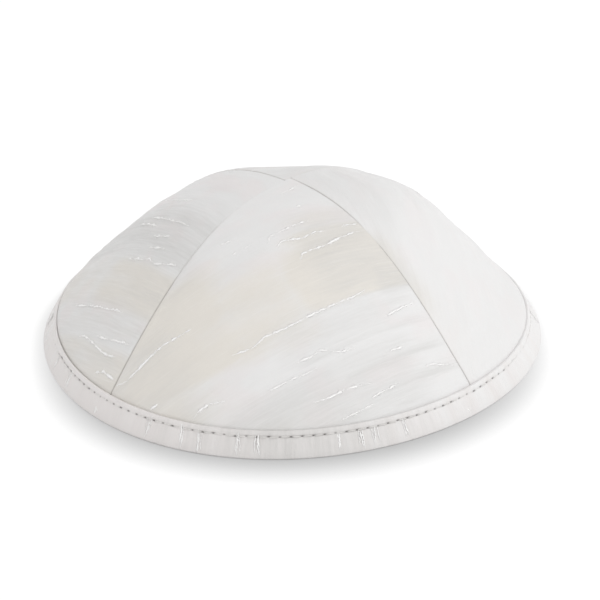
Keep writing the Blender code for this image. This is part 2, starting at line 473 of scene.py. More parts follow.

# %% [markdown]
# ## Tints on the cut
#
# The satin isn't one colour. Bands along the grain are warmer or greyer, and some of the grey bands
# are painted shade that sets how bright parts of each panel look under the lamps. A painted shadow
# darkens the cloth just below a slub. These tints are numbers stored on the mesh's points, worked out
# on the cut, so that a material can read them however the panel bends. A band is a box along the grain
# with soft edges and ends, in millimetres. Where bands overlap, the stronger one counts.

# %% Tints on the cut
Band = namedtuple("Band", "low high soft_low soft_high start end soft_ends amount")
WARM_BANDS = {
    "front": [
        (27, 64, 3, 5, -60, 5, 10, 1.03),
        (24, 53, 4, 6, -4, 24, 8, 0.88),
        (28.5, 51, 1.5, 8, 22, 66, 8, 1.5),
        (20, 31, 3, 2, 8, 24, 6, 0.6),
        (10, 30, 9, 2, -60, -18, 14, 1.0),
        (49, 57, 3, 2, 28, 58, 8, 1.0),
        (57, 64, 2, 3, 34, 50, 8, 0.6),
        (-20, 6, 8, 8, -60, 10, 20, 0.3),
    ],
    "left": [
        (3, 22, 4, 5, -30, 28, 20, 0.65),
        (3, 20, 4, 4, 24, 90, 10, 1.02),
        (-10, 3, 4, 3, -30, 90, 20, 0.2),
        (-40, -10, 3, 4, -30, 90, 20, 0.9),
    ],
    "right": [(40, 90, 12, 10, -60, -14, 12, 0.15)],
    "back": [(20, 44, 2, 8, -60, 60, 20, 0.8), (-30, 0, 6, 2, -60, 60, 20, 0.5)],
}
# Grey bands of the satin, and painted shade that darkens parts of each panel to set how bright they look under the
# lamps
SHADE_BANDS = {
    "front": [
        (-30, 26, 6, 6, -70, -17, 8, 0.45),
        (30, 62, 4, 6, 30, 66, 8, 0.5),
        (26, 40, 3, 4, 46, 66, 5, 0.62),
        (-14, 14, 6, 5, 6, 48, 8, 0.48),
        (-22, 13, 6, 5, -26, 25, 8, 0.6),
        (26, 54, 6, 6, -70, -16, 8, 0.36),
        (58, 72, 4, 5, -14, 4, 6, 0.34),
        (14, 31, 4, 3, 7, 48, 8, 0.38),
        (4.5, 7.5, 0.8, 3, 18, 60, 8, 0.66),
        (-4.5, 0, 0.8, 3, 20, 60, 8, 0.5),
        (14, 17, 0.8, 3, 10, 60, 8, 0.5),
        (22, 25, 2, 3, 5, 60, 8, 0.45),
    ],
    "left": [
        (-60, 50, 5, 10, -60, 120, 10, 0.36),
        (22, 47, 3, 10, -30, 90, 15, 0.58),
        (-9, -4, 1, 3, 20, 90, 8, 0.4),
    ],
    "right": [(60, 90, 5, 5, 14, 60, 8, 0.33)],
    "back": [(44, 90, 6, 10, -60, 60, 20, 0.42), (4, 12, 1, 5, -60, 60, 20, 0.3)],
}


def soft_box(value, low, high, soft_low, soft_high):
    """1 between low and high: a smooth rise round the one times a smooth fall round the other."""
    rise = smooth(value, low - soft_low, low + soft_low)
    return rise * (1 - smooth(value, high - soft_high, high + soft_high))


def band_tint(panel, rows, x, y):
    """The strongest band at each point: a soft box across the grain times one along it."""
    along, across = along_grain(panel, x / MM, y / MM)
    total = np.zeros_like(along)
    for b in map(Band._make, rows):
        across_box = soft_box(across, b.low, b.high, b.soft_low, b.soft_high)
        along_box = soft_box(along, b.start, b.end, b.soft_ends, b.soft_ends)
        total = np.maximum(total, b.amount * across_box * along_box)
    return total


def slub_shade(lines, x, y, reach):
    """Painted shadow under each slub: largest along its line, dying away below it over the reach."""
    total = np.zeros_like(x)
    for line in lines:
        start, chord = line[0], line[-1] - line[0]
        length = np.linalg.norm(chord)
        way = chord / length
        side = np.array([-way[1], way[0]])
        line_along, line_across = (line - start) @ way, (line - start) @ side
        order = np.argsort(line_along)
        along = (x - start[0]) * way[0] + (y - start[1]) * way[1]
        across = (x - start[0]) * side[0] + (y - start[1]) * side[1]
        above = across - np.interp(along, line_along[order], line_across[order])
        window = smooth(along, -1 * MM, 2 * MM) * (1 - smooth(along, length - 2 * MM, length + 1 * MM))
        below = np.where(above < 0, np.exp(above / reach), np.exp(-above / (0.25 * reach)))
        total = np.maximum(total, window * below)
    return total


for key in PANELS:
    print(f"{key}: {len(WARM_BANDS[key])} warm bands, {len(SHADE_BANDS[key])} grey ones")

# %% [markdown]
# ## A panel's section
#
# A sewn panel isn't a plate that stops at its seam. Its edge turns down, folds back and lies flat
# under it as a seam allowance. So one row of a panel's grid is a section right across it: in from
# the raw edge of one allowance, round the fold, over the face, and round and back on the far side.

# %% A panel's section
FACE_STEPS = np.array([0.04, 0.3, 0.65, 1.1, 1.7]) * MM
FOLD_ANGLES = np.radians([90, 60, 30, 0, -30, -60, -90])
ALLOWANCE_STEPS = np.array([1.0, 0.72, 0.46, 0.25])


def half_section(share, crease):
    """Distance from the seam and depth, from an allowance's raw edge up on to the face.

    The fold is half an ellipse: (W - W cos a, R + R sin a) with a from 90 to -90 degrees. A soft
    crease has a narrow W, so that hardly any groove shows.
    """
    half_width = (seam_radius(share) * QUARTER)[:, None]
    scale = np.minimum(1.0, 0.4 * half_width / FACE_STEPS[-1])
    radius = np.minimum(FOLD_RADIUS, 0.3 * half_width)
    reach = radius + np.minimum(ALLOWANCE, 0.75 * half_width) * ALLOWANCE_STEPS
    fold = radius * crease[:, None] * (1 - np.cos(FOLD_ANGLES))
    face = radius * crease[:, None] + FACE_STEPS * scale
    away = np.concatenate([reach, fold, face], axis=1)
    under = np.broadcast_to(2 * radius, reach.shape)
    depth = np.concatenate([under, radius * (1 + np.sin(FOLD_ANGLES)), 0 * face], axis=1)
    return away + SEAM_GAP / 2 * crease[:, None], depth


def panel_shares(rows=172):
    """Rows from the hem's end inside the binding up to the crown, evenly spaced along the dome."""
    hem = np.linspace(2 - HEM_HEIGHT / BINDING_HEIGHT, 1.0, 6, endpoint=False)
    dome_rows = np.linspace(CUT_LENGTH, 0.05 * MM, rows)
    return np.concatenate([hem, np.interp(dome_rows, DISTANCE_TABLE, SHARE_TABLE)])


def panel_grid(panel):
    """Turn, share and depth of each point of a panel: a half section at each end, even between."""
    share = panel_shares()
    radius = np.maximum(seam_radius(share), 1e-6)[:, None]
    ends = []
    for side in (-1, 1):
        away, depth = half_section(share, firmness(panel, side, share))
        ends.append(QUARTER - np.arcsin(np.clip(away / radius, 0.0, 0.7)))
    even = np.linspace(0, 1, panel.columns)[1:-1]
    middle = -ends[0][:, -1:] + (ends[0][:, -1:] + ends[1][:, -1:]) * even
    turn = np.concatenate([-ends[0], middle, ends[1][:, ::-1]], axis=1)
    depth = np.concatenate([depth, 0 * middle, depth[:, ::-1]], axis=1)
    return turn, np.broadcast_to(share[:, None], turn.shape), depth


print("front panel grid:", panel_grid(PANELS["front"])[0].shape, "rows and columns")

# %% [markdown]
# ## Four panels
#
# A panel is one sheet of cloth, bent to the dome by on_cloth. Its points also carry the tints, and how
# near they are to a crease, where the cloth lies in its own shadow and the satin adds a painted shadow.
# Beside its seam with the front, the right panel gets a warm grey painted shade, as if the cloth dipped
# there, though its shape doesn't. A Solidify modifier gives the cloth its thickness, inwards, so that
# its outer face stays on the dome.

# %% Four panels
CREASE_SHADOW = 0.32 * MM
PAINTED_HOLLOW_WIDTH = 5.5 * MM
# reach and strength of the painted shadow under the slubs on each panel
SLUB_SHADE_REACH = 0.7 * MM
SLUB_SHADE = {"front": 1.0, "right": 1.0, "back": 1.0, "left": 2.5}


def make_panel(key, panel):
    """The face, folds and allowances of one panel as a single sheet of cloth."""
    turn, share, depth = panel_grid(panel)
    x, y = to_cut(turn, np.clip(share, 0.0005, 1.0))
    y = y - BINDING_HEIGHT * np.clip(share - 1, 0, None)
    edge = edge_distance(turn, share)
    # painted warm grey shade beside the right panel's seam with the front; the surface isn't sunk there
    painted_hollow_shade = np.exp(-((edge / PAINTED_HOLLOW_WIDTH) ** 2)) * soft_box(share, 0.44, 0.755, 0.06, 0.095)
    painted_hollow_shade = painted_hollow_shade * (turn < 0) * (key == "right")
    values = {
        "warmth": band_tint(panel, WARM_BANDS[key], x, y) + 0.6 * painted_hollow_shade,
        "shade": band_tint(panel, SHADE_BANDS[key], x, y) + 0.5 * painted_hollow_shade,
        "slub_shade": slub_shade(SLUBS[key], x, y, SLUB_SHADE_REACH) * SLUB_SHADE[key],
        # painted shadow along each seam's crease, stronger where the seam is creased harder
        "seam": np.exp(-((edge / CREASE_SHADOW) ** 2)) * firmness(panel, turn, share),
    }
    points = on_cloth(panel, turn, share, -depth)
    obj = make_mesh(panel.name + "_cloth", points, grid_faces(*turn.shape), values, np.stack([x, y], -1))
    wall = obj.modifiers.new("cloth", "SOLIDIFY")
    wall.thickness = CLOTH
    wall.offset = -1.0
    return obj


cloth = {key: make_panel(key, panel) for key, panel in PANELS.items()}
for obj in cloth.values():
    print(f"{obj.name}: {len(obj.data.vertices)} points, {len(obj.data.polygons)} faces")

# %% [markdown]
# ## The binding's section
#
# A strip of the same satin is folded round the panels' lower edge. Each leaf has its own raw edge
# turned under, so its upper end is a soft round fold. The section is drawn once, down the outer leaf,
# round the foot and up the inner leaf, with its points close together where the stitches will go.

# %% The binding's section
STITCH_COUNT = 153
STITCH_DROP = 1.75 * MM
FOOT_EDGE = 0.4 * MM  # radius of the fold at the floor, pressed tighter outside than inside
LEAF_ROUND = BINDING_WALL / 2
OUT_WAY = np.array([cos(LEAN_ANGLE), sin(LEAN_ANGLE)])
STITCH_HEIGHT = BINDING_HEIGHT - STITCH_DROP * cos(LEAN_ANGLE)
PITCH = tau * layer_radius(0.0, STITCH_HEIGHT) / STITCH_COUNT
OUTER_STEPS = [6.8, 6.5, 6.25, 6.05, 5.88, 5.74, 5.62, 5.5, 5.38, 5.26, 5.12, 4.9, 4.6, 4.1, 3.5, 2.8, 2.0]
INNER_STEPS = [2.0, 3.2, 4.3, 4.9, 5.2, 5.38, 5.5, 5.62]


def section_arc(radius, centre, start, end, count):
    """Points of an arc in the section: centre plus radius times (cos a, sin a)."""
    angle = np.linspace(start, end, count)
    return np.stack([centre[0] + radius * np.cos(angle), centre[1] + radius * np.sin(angle)], -1)


def section_line(depth, heights):
    """Points down or up a leaf's face, at one depth in the binding."""
    heights = np.array(heights) * MM
    return np.stack([layer_radius(depth, heights), heights], -1)


def layer_point(depth, height):
    """The centre of an arc: a depth in the binding and a height."""
    return layer_radius(depth, height), height


outer_end = layer_point(LEAF_ROUND, BINDING_HEIGHT - LEAF_ROUND)
inner_end = layer_point(INNER_LEAF_DEPTH + LEAF_ROUND, BINDING_HEIGHT - INNER_LEAF_DROP - LEAF_ROUND)
foot_outer = layer_point(FOOT_EDGE, FOOT_EDGE)
foot_inner = layer_point(BINDING_DEPTH - FOOT_ROUND, FOOT_ROUND)
SECTION = np.concatenate(
    [
        section_arc(LEAF_ROUND, outer_end, LEAN_ANGLE + pi, LEAN_ANGLE, 8),
        section_line(0.0, OUTER_STEPS),
        section_arc(FOOT_EDGE, foot_outer, LEAN_ANGLE, -pi / 2, 7),
        section_arc(FOOT_ROUND, foot_inner, -pi / 2, LEAN_ANGLE - pi, 7),
        section_line(BINDING_DEPTH, INNER_STEPS),
        section_arc(LEAF_ROUND, inner_end, LEAN_ANGLE - pi, LEAN_ANGLE - tau, 6),
        section_line(INNER_LEAF_DEPTH, [4.0, 1.2]),
        section_line(BINDING_WALL, [1.2, 4.0]),
    ]
)
print(f"binding: {len(SECTION)} points in its section, topstitched {STITCH_DROP / MM} mm down")

# %% [markdown]
# ## How stitches pull the cloth
#
# Topstitching pulls the leaves together in a shallow groove, deepest at each needle hole, and the
# cloth puffs up a little on both sides of it. Hand-guided stitches vary, so each hole has its own
# size and sits a little off the line. At both ends of the rim, as the picture shows them, the
# stitches hardly mark the cloth.

# %% How stitches pull the cloth
HOLE_DEPTH = 0.28 * MM
GROOVE_DEPTH = 0.08 * MM
PUFF = 0.07 * MM
WAVES_ROUND = (3, 5, 8, 13, 17, 26, 31)
rim_random = np.random.default_rng(21)
RIM_WAVES = [(k, rim_random.uniform(0, tau), rim_random.normal(0, 1)) for k in WAVES_ROUND]
HOLE_SIZE = np.clip(rim_random.normal(1.0, 0.28, STITCH_COUNT), 0.45, 1.4)
HOLE_OFF = rim_random.normal(0, 0.09, STITCH_COUNT) * MM


def rim_wave(azimuth):
    """Slow unevenness round the rim: a few sines that close on themselves after one turn."""
    return sum(size * np.sin(count * azimuth + phase) for count, phase, size in RIM_WAVES)


def hole_spot(azimuth, drop, length, width):
    """A spot at each needle hole: e^-(a² + b²) of the distances round and across the rim."""
    turns = azimuth * STITCH_COUNT / tau
    index = np.round(turns).astype(int) % STITCH_COUNT
    round_way = (turns - np.round(turns)) * PITCH / (length * HOLE_SIZE[index])
    off = (drop - STITCH_DROP - HOLE_OFF[index]) / width
    return np.exp(-(round_way**2) - off**2) * np.minimum(HOLE_SIZE[index], 1.0)


def sewn_tight(azimuth):
    """1 where the stitches pull hard, and 0.15 at both ends of the rim."""
    degrees = np.degrees(azimuth) % 360
    right = smooth(degrees, 53, 64) * (1 - smooth(degrees, 118, 135))
    left = smooth(degrees, 225, 240) * (1 - smooth(degrees, 281, 293))
    return 1 - 0.85 * (right + left)


def stitch_pull(azimuth, drop):
    """Push of a leaf's face by the stitching: a groove, a pit at each hole, and puffs between."""
    groove = -GROOVE_DEPTH * np.exp(-(((drop - STITCH_DROP) / (0.5 * MM)) ** 2))
    pit = -HOLE_DEPTH * hole_spot(azimuth, drop, 0.5 * MM, 0.24 * MM)
    puff = PUFF * (1 - 0.5 * np.cos(STITCH_COUNT * azimuth))
    above = puff * np.exp(-(((drop - 1.1 * MM) / (0.6 * MM)) ** 2))
    below = 0.8 * puff * np.exp(-(((drop - 3.6 * MM) / (0.9 * MM)) ** 2))
    return (groove + pit) * sewn_tight(azimuth) + above + below


print(f"{STITCH_COUNT} stitches of {PITCH / MM:.2f} mm, holes {HOLE_SIZE.min():.2f} to {HOLE_SIZE.max():.2f}")

# %% [markdown]
# ## The binding round the rim
#
# The section is carried round the rim, with a few columns of points to each stitch. The rim's plan
# moves it in and out, and its foot spreads a little, as a soft edge does under a cap's own weight.
# Behind the outer leaf's fold the cloth is drawn in snugly against the panels.

# %% The binding round the rim
HOLE_STEPS = np.array([-0.42, -0.28, -0.17, -0.1, -0.035, 0.035, 0.1, 0.17, 0.28, 0.42])
FOOT_FLARE = 0.5 * MM
SLOW_HEIGHT = 0.045 * MM
SNUG = 0.27 * MM


def round_rim(azimuth, radius, height):
    """Points at a distance from the axis and a height, moved out by the rim's plan and the flare."""
    flare = (1 + 0.7 * near_azimuth(azimuth, 48, 3)) * (1 - smooth(height, 0.0, 6 * MM))
    out = radius + rim_plan(azimuth) + FOOT_FLARE * flare
    azimuth, radius, height = np.broadcast_arrays(azimuth, out, height)
    return np.stack([radius * np.sin(azimuth), -radius * np.cos(azimuth), height], -1)


def make_binding():
    """The section carried round the rim, pushed along each leaf's face by the stitching."""
    azimuth = (tau * (np.arange(STITCH_COUNT)[:, None] + HOLE_STEPS) / STITCH_COUNT).reshape(-1, 1)
    radius, height = SECTION[None, :, 0], SECTION[None, :, 1]
    drop = (BINDING_HEIGHT - height) / cos(LEAN_ANGLE)
    depth = (layer_radius(0.0, height) - radius) * cos(LEAN_ANGLE)
    above_foot = smooth(height, 1 * MM, 3 * MM)
    outer = smooth(-depth, -0.5 * MM, -0.2 * MM) * above_foot
    inner = smooth(depth, BINDING_DEPTH - 0.5 * MM, BINDING_DEPTH - 0.2 * MM) * above_foot
    pull = stitch_pull(azimuth, drop)
    slow = SLOW_HEIGHT * rim_wave(azimuth) * smooth(height, 0.5 * MM, 5 * MM)
    snug = (1 - near_azimuth(azimuth, -75, 4)) * smooth(height, 4.5 * MM, 6 * MM)
    snug = snug * smooth(depth, 0.25 * MM, 0.9 * MM) * (1 - smooth(depth, 1.1 * MM, 1.4 * MM))
    push = outer * (pull + slow) + inner * (slow - pull) - SNUG * snug
    points = round_rim(azimuth, radius + push * OUT_WAY[0], height + push * OUT_WAY[1])

    pit = hole_spot(azimuth, drop, 0.58 * MM, 0.22 * MM) * sewn_tight(azimuth)
    values = {
        # painted shadow in each needle hole
        "pit": pit * np.maximum(outer, inner),
        "warmth": np.broadcast_to(0.9 * near_azimuth(azimuth, -40, 1.2), pit.shape),
        # painted shade, darkest at the front of the rim
        "shade": np.broadcast_to(0.68 * near_azimuth(azimuth, 0, 8), pit.shape),
    }
    length = np.concatenate([[0], np.cumsum(np.linalg.norm(np.diff(SECTION, axis=0), axis=1))])
    cut = np.stack(np.broadcast_arrays(azimuth * RIM_RADIUS, length), -1)
    faces = grid_faces(*points.shape[:2], closed_rows=True, closed_columns=True)
    return make_mesh("rim_binding_cloth", points, faces[:, ::-1], values, cut)


binding = make_binding()
print(f"{binding.name}: {len(binding.data.vertices)} points, {len(binding.data.polygons)} faces")

# %% [markdown]
# ## Thread
#
# The topstitching and the slubs are all threads: a path, a radius that may change along it, and a
# round or flattened section. A curve object with a bevel could draw one, but one function on arrays
# of shape (threads, points along, points round) makes hundreds at once, both ends drawn in.

# %% Thread
def tubes(paths, up, radius, sides, flatness=1.0):
    """Rings round each point of each path: path + radius (flatness cos a · up + sin a · side).

    side is the cross product of the path's direction and up, so a ring stands across the path.
    """
    way = unit(np.gradient(paths, axis=1))
    side = unit(np.cross(way, up))
    upright = np.cross(side, way)
    angle = np.arange(sides) * tau / sides
    ring = flatness * np.cos(angle)[:, None] * upright[..., None, :]
    ring = ring + np.sin(angle)[:, None] * side[..., None, :]
    return paths[..., None, :] + radius[..., None, None] * ring


def tube_faces(count, length, sides, start=0):
    """Quads of many equal tubes: the faces of one, repeated with each tube's first point added."""
    one = grid_faces(length, sides, closed_columns=True)
    firsts = start + np.arange(count) * length * sides
    return (firsts[:, None, None] + one).reshape(-1, 4)


def end_taper(length):
    """Radius along a thread as a share: sqrt(1 - t^6), nearly 0 at both ends."""
    t = np.linspace(-1, 1, length)
    return np.maximum(1 - np.abs(t) ** 6, 0.02) ** 0.5


print("taper of a thread of 9 points:", np.round(end_taper(9), 2).tolist())

# %% [markdown]
# ## Topstitching
#
# A lockstitch shows as short bars of thread, each dipping into the cloth at its ends. It goes round
# just below the binding's upper edge, outside and inside alike. Where the cloth is hardly marked,
# the bars sink into it.

# %% Topstitching
THREAD_RADIUS = 0.15 * MM
BAR_HALF = 0.425  # of the distance between two needle holes


def leaf_up(azimuth):
    """Direction straight out of the outer leaf's face."""
    out = np.stack([np.sin(azimuth), -np.cos(azimuth), np.zeros_like(azimuth)], -1) * OUT_WAY[0]
    out[..., 2] = OUT_WAY[1]
    return out


def make_topstitch(points_along=9, sides=6):
    """Bars between needle holes, highest at the middle and sunk at both ends, on both leaves."""
    t = np.linspace(-1, 1, points_along)
    azimuth = tau * (np.arange(STITCH_COUNT)[:, None] + 0.5 + BAR_HALF * t) / STITCH_COUNT
    lift = (0.1 - 0.33 * np.abs(t) ** 4 - 0.2 * (1 - sewn_tight(azimuth))) * MM
    grids, faces = [], []
    for depth, way in ((0.0, 1), (BINDING_DEPTH, -1)):
        radius = layer_radius(depth, STITCH_HEIGHT) + way * lift * OUT_WAY[0]
        paths = round_rim(azimuth, radius, STITCH_HEIGHT + way * lift * OUT_WAY[1])
        size = np.broadcast_to(THREAD_RADIUS * end_taper(points_along), paths.shape[:2])
        faces.append(tube_faces(STITCH_COUNT, points_along, sides, start=sum(map(len, grids))))
        grids.append(tubes(paths, way * leaf_up(azimuth), size, sides).reshape(-1, 3))
    return make_mesh("binding_topstitch", np.concatenate(grids), np.concatenate(faces))


topstitch = make_topstitch()
print(f"{topstitch.name}: {2 * STITCH_COUNT} bars, {len(topstitch.data.polygons)} faces")

# %% [markdown]
# ## Slub threads
#
# Each charted line becomes a thin, lumpy, flattened thread that lies half sunk in the face. Loose
# fibres cross it at odd angles, which gives the line its fuzzy, broken look. All of a panel's
# threads and fibres are one mesh.

# %% Slub threads
SLUB_STEP = 0.45 * MM
SLUB_RADIUS = 0.42 * MM
SLUB_FLATNESS = 0.15
SLUB_WANDER = 0.13 * MM
FIBRE_GAP = 0.7 * MM
FIBRE_RADIUS = 0.09 * MM
FIBRE_POINTS = 4


def resample(line, step):
    """Points an even step apart along a line of straight pieces."""
    length = np.concatenate([[0], np.cumsum(np.linalg.norm(np.diff(line, axis=0), axis=1))])
    at = np.linspace(0, length[-1], max(5, int(length[-1] / step) + 1))
    return np.stack([np.interp(at, length, line[:, i]) for i in (0, 1)], -1)


def soften(values):
    """Each value averaged with its neighbours: (before + 2 of its own + after) / 4."""
    padded = np.concatenate([values[:1], values, values[-1:]])
    return (padded[:-2] + 2 * padded[1:-1] + padded[2:]) / 4


def lay(panel, flat, lift):
    """Carries points of the cut to the panel's face and lifts them off it."""
    turn, share = from_cut(flat[..., 0], flat[..., 1])
    return on_cloth(panel, turn, share, lift), dome_normal(panel, turn, share)


def loose_fibres(random, at, way):
    """Short straight fibres on the cut, each turned off the slub's way, clear of seams and hem."""
    way = way + random.normal(0, 0.75, len(way))
    half = random.uniform(0.25, 0.8, len(way)) * MM
    steps = (half[:, None] * np.linspace(-1, 1, FIBRE_POINTS))[..., None]
    flat = at[:, None, :] + steps * np.stack([np.cos(way), np.sin(way)], -1)[:, None, :]
    turn, share = from_cut(flat[..., 0], flat[..., 1])
    return flat[((edge_distance(turn, share) > 0.5 * MM) & (share < 0.995)).all(axis=1)]


def make_slubs(key, panel, sides=5):
    """Lumpy threads along the panel's slub lines, with fibres across them, in one mesh."""
    random = np.random.default_rng(panel.seed + 200)
    grids, faces, count = [], [], 0
    fibre_at, fibre_way = [], []
    for line in SLUBS[key]:
        flat = resample(line, SLUB_STEP)
        flat = flat + soften(random.normal(0, 1, flat.shape)) * SLUB_WANDER
        lumps = np.clip(0.65 + soften(random.normal(0, 0.85, len(flat))), 0.12, 1.5)
        radius = SLUB_RADIUS * lumps * end_taper(len(flat))
        path, up = lay(panel, flat, 0.01 * MM)
        grids.append(tubes(path[None], up[None], radius[None], sides, SLUB_FLATNESS).reshape(-1, 3))
        faces.append(tube_faces(1, len(flat), sides, start=count))
        count += len(grids[-1])
        number = max(2, int(np.linalg.norm(line[-1] - line[0]) / FIBRE_GAP))
        fibre_at.append(flat[random.integers(0, len(flat), number)])
        fibre_way.append(np.full(number, atan2(*(line[-1] - line[0])[::-1])))
    flat = loose_fibres(random, np.concatenate(fibre_at), np.concatenate(fibre_way))
    path, up = lay(panel, flat, 0.02 * MM)
    radius = np.broadcast_to(FIBRE_RADIUS * end_taper(FIBRE_POINTS), path.shape[:2])
    grids.append(tubes(path, up, radius, 3, 0.6).reshape(-1, 3))
    faces.append(tube_faces(len(flat), FIBRE_POINTS, 3, start=count))
    return make_mesh(panel.name + "_slubs", np.concatenate(grids), np.concatenate(faces))


slubs = {key: make_slubs(key, panel) for key, panel in PANELS.items()}
for obj in slubs.values():
    print(f"{obj.name}: {len(obj.data.polygons)} faces")

# %% [markdown]
# ## Slubs on the binding
#
# The strip is cut across the same cloth, so its slubs run up and down the rim instead of along it.
# Each is a bundle: a main thread and three thinner strands beside it. The ones in front are charted
# by their azimuths, the others are seeded.

# %% Slubs on the binding
RIM_SLUBS = [-46.9, -31.6, -23.6, -19.4, -11.0, -6.8, 10.0, 14.7, 17.7, 25.0]
STRANDS = np.array([1.0, 0.6, 0.6, 0.45])  # size of a bundle's main thread and of those beside it
STRAND_SPREAD = 0.8 * MM
RIM_SLUB_RADIUS = 0.32 * MM


def make_rim_slubs(points_along=12, sides=5):
    """Short lumpy threads up the outer leaf, each with a wander and a slight lean of its own."""
    random = np.random.default_rng(34)
    azimuth = np.repeat(np.radians([*RIM_SLUBS, *random.uniform(40, 300, 17)]), len(STRANDS))
    number = len(azimuth)
    strand = np.tile(STRANDS, number // len(STRANDS))
    azimuth = azimuth + (strand < 1) * random.normal(0, STRAND_SPREAD / RIM_RADIUS, number)
    low, high = random.uniform(0.6, 2.5, number), random.uniform(5.2, 7.1, number)
    height = (low[:, None] + (high - low)[:, None] * np.linspace(0, 1, points_along)) * MM
    wander = random.normal(0, 0.12, height.shape).cumsum(axis=1) * 0.5 * MM / RIM_RADIUS
    lean = random.normal(0, 0.06, number)[:, None] * (height - height.mean()) / RIM_RADIUS
    azimuth = azimuth[:, None] + wander + lean
    lumps = np.clip(random.normal(0.8, 0.3, height.shape), 0.4, 1.4)
    size = lumps * RIM_SLUB_RADIUS * end_taper(points_along) * strand[:, None]
    push = stitch_pull(azimuth, (BINDING_HEIGHT - height) / cos(LEAN_ANGLE)) + 0.02 * MM
    radius = layer_radius(0.0, height) + push * OUT_WAY[0]
    paths = round_rim(azimuth, radius, height + push * OUT_WAY[1])
    points = tubes(paths, leaf_up(azimuth), size, sides, SLUB_FLATNESS)
    return make_mesh("rim_binding_slubs", points, tube_faces(number, points_along, sides))


rim_slubs = make_rim_slubs()
print(f"{rim_slubs.name}: {len(rim_slubs.data.polygons)} faces")

# %% [markdown]
# ## Shader maths
#
# A material is a small machine of nodes. Adding them one by one hides the sum that they make, so
# this class wraps a socket and lets Python's own operators add the Math nodes: 1 - mask is one
# Subtract node. Every other node comes from one method, which sets the node's settings first and
# then its sockets.

# %% Shader maths
class Wire:
    """An output socket of a node tree that can be used like a number."""

    def __init__(self, tree, socket=None):
        self.tree = tree
        self.socket = socket

    def node(self, kind, settings=None, inputs=None, output=0):
        """Adds a node: first its settings, then the value or wire of each socket that is given."""
        made = self.tree.nodes.new(kind)
        for key, value in (settings or {}).items():
            setattr(made, key, value)
        for key, value in (inputs or {}).items():
            if isinstance(value, Wire):
                self.tree.links.new(value.socket, made.inputs[key])
            else:
                made.inputs[key].default_value = value
        return Wire(self.tree, made.outputs[output])

    def math(self, operation, *values):
        return self.node("ShaderNodeMath", {"operation": operation}, dict(enumerate(values)))

    def __add__(self, other):
        return self.math("ADD", self, other)

    __radd__ = __add__

    def __mul__(self, other):
        return self.math("MULTIPLY", self, other)

    __rmul__ = __mul__

    def __sub__(self, other):
        return self.math("SUBTRACT", self, other)

    def __rsub__(self, other):
        return self.math("SUBTRACT", other, self)

    def __truediv__(self, other):
        return self.math("DIVIDE", self, other)

    def __pow__(self, other):
        return self.math("POWER", self, other)

    def sine(self):
        return self.math("SINE", self)

    def at_least(self, low):
        return self.math("MAXIMUM", self, low)

    def axes(self):
        """The x and y of a vector, each a wire of its own."""
        return [self.node("ShaderNodeSeparateXYZ", None, {0: self}, axis) for axis in (0, 1)]

    def between(self, low, high):
        """0 below low and 1 above high, smoothly."""
        settings = {"interpolation_type": "SMOOTHSTEP", "clamp": True}
        return self.node("ShaderNodeMapRange", settings, {0: self, 1: low, 2: high})

    def mix(self, first, second):
        """A colour between two others, by this wire's value."""
        settings = {"data_type": "RGBA", "clamp_factor": True}
        return self.node("ShaderNodeMix", settings, {0: self, 6: first, 7: second}, 2)

    def noise(self, along, across, detail=2.0):
        """Noise on flat coordinates, each given with the length in mm that one grain of it has."""
        flat = [wire * (1 / (length * MM)) for wire, length in (along, across)]
        place = self.node("ShaderNodeCombineXYZ", None, dict(enumerate(flat)))
        sizes = {"Vector": place, "Scale": 1.0, "Detail": detail}
        return self.node("ShaderNodeTexNoise", {"noise_dimensions": "2D"}, sizes)

    def stored(self, name):
        """A number stored on the mesh's points."""
        return self.node("ShaderNodeAttribute", {"attribute_name": name}, None, "Fac")


def start_material(name, roughness, sheen, specular=0.35):
    """A Principled material with its even values set on the shader's own sockets."""
    made = bpy.data.materials.new(name)
    made.use_nodes = True
    shader = made.node_tree.nodes["Principled BSDF"]
    shader.inputs["Roughness"].default_value = roughness
    shader.inputs["Sheen Weight"].default_value = sheen
    shader.inputs["Sheen Roughness"].default_value = 0.4
    shader.inputs["Specular IOR Level"].default_value = specular
    return made, shader, Wire(made.node_tree)


def plug(wire, shader, socket):
    """Joins a wire to one of the shader's sockets."""
    wire.tree.links.new(wire.socket, shader.inputs[socket])


def relief(wire, shader, height, depth):
    """A bump of the given height pattern, its full depth a length."""
    bump = wire.node("ShaderNodeBump", None, {"Strength": 0.6, "Distance": depth, "Height": height})
    plug(bump, shader, "Normal")


print("operators:", [name for name in vars(Wire) if name.startswith("__") and name.endswith("__")][2:9])

# %% [markdown]
# ## Panel satin
#
# The satin's colour runs from a cool white, blushed in places, to a warm ivory and a soft grey. The
# mesh's own tints say where, and noise drawn out along the grain breaks up their edges into threads.
# Part of the grey is painted shade in some bands, and painted shadow below the slubs and in the seams'
# creases. The relief has three scales: the weave, fine drawn-out threads, and a broad crinkle.

# %% Panel satin
COOL = (0.768, 0.763, 0.759, 1.0)
WARM = (0.745, 0.712, 0.661, 1.0)
GREY_AND_SHADE = (0.58, 0.573, 0.559, 1.0)
BLUSH = (0.775, 0.742, 0.738, 1.0)
HAIR = (0.86, 0.857, 0.85, 1.0)
SEAM_SHADOW_COLOUR = (0.46, 0.435, 0.41, 1.0)
WARP = 0.26 * MM
WEFT = 0.31 * MM
RELIEF = 0.09 * MM
BLUSH_SHIFT = 87.6 * MM  # takes the blush from another part of the noise


def sheen_of_threads(wire, shader, drawn, fine):
    """Roughness of the satin: a little duller where its threads stand up."""
    plug(0.44 + drawn * 0.12 + fine * 0.06, shader, "Roughness")


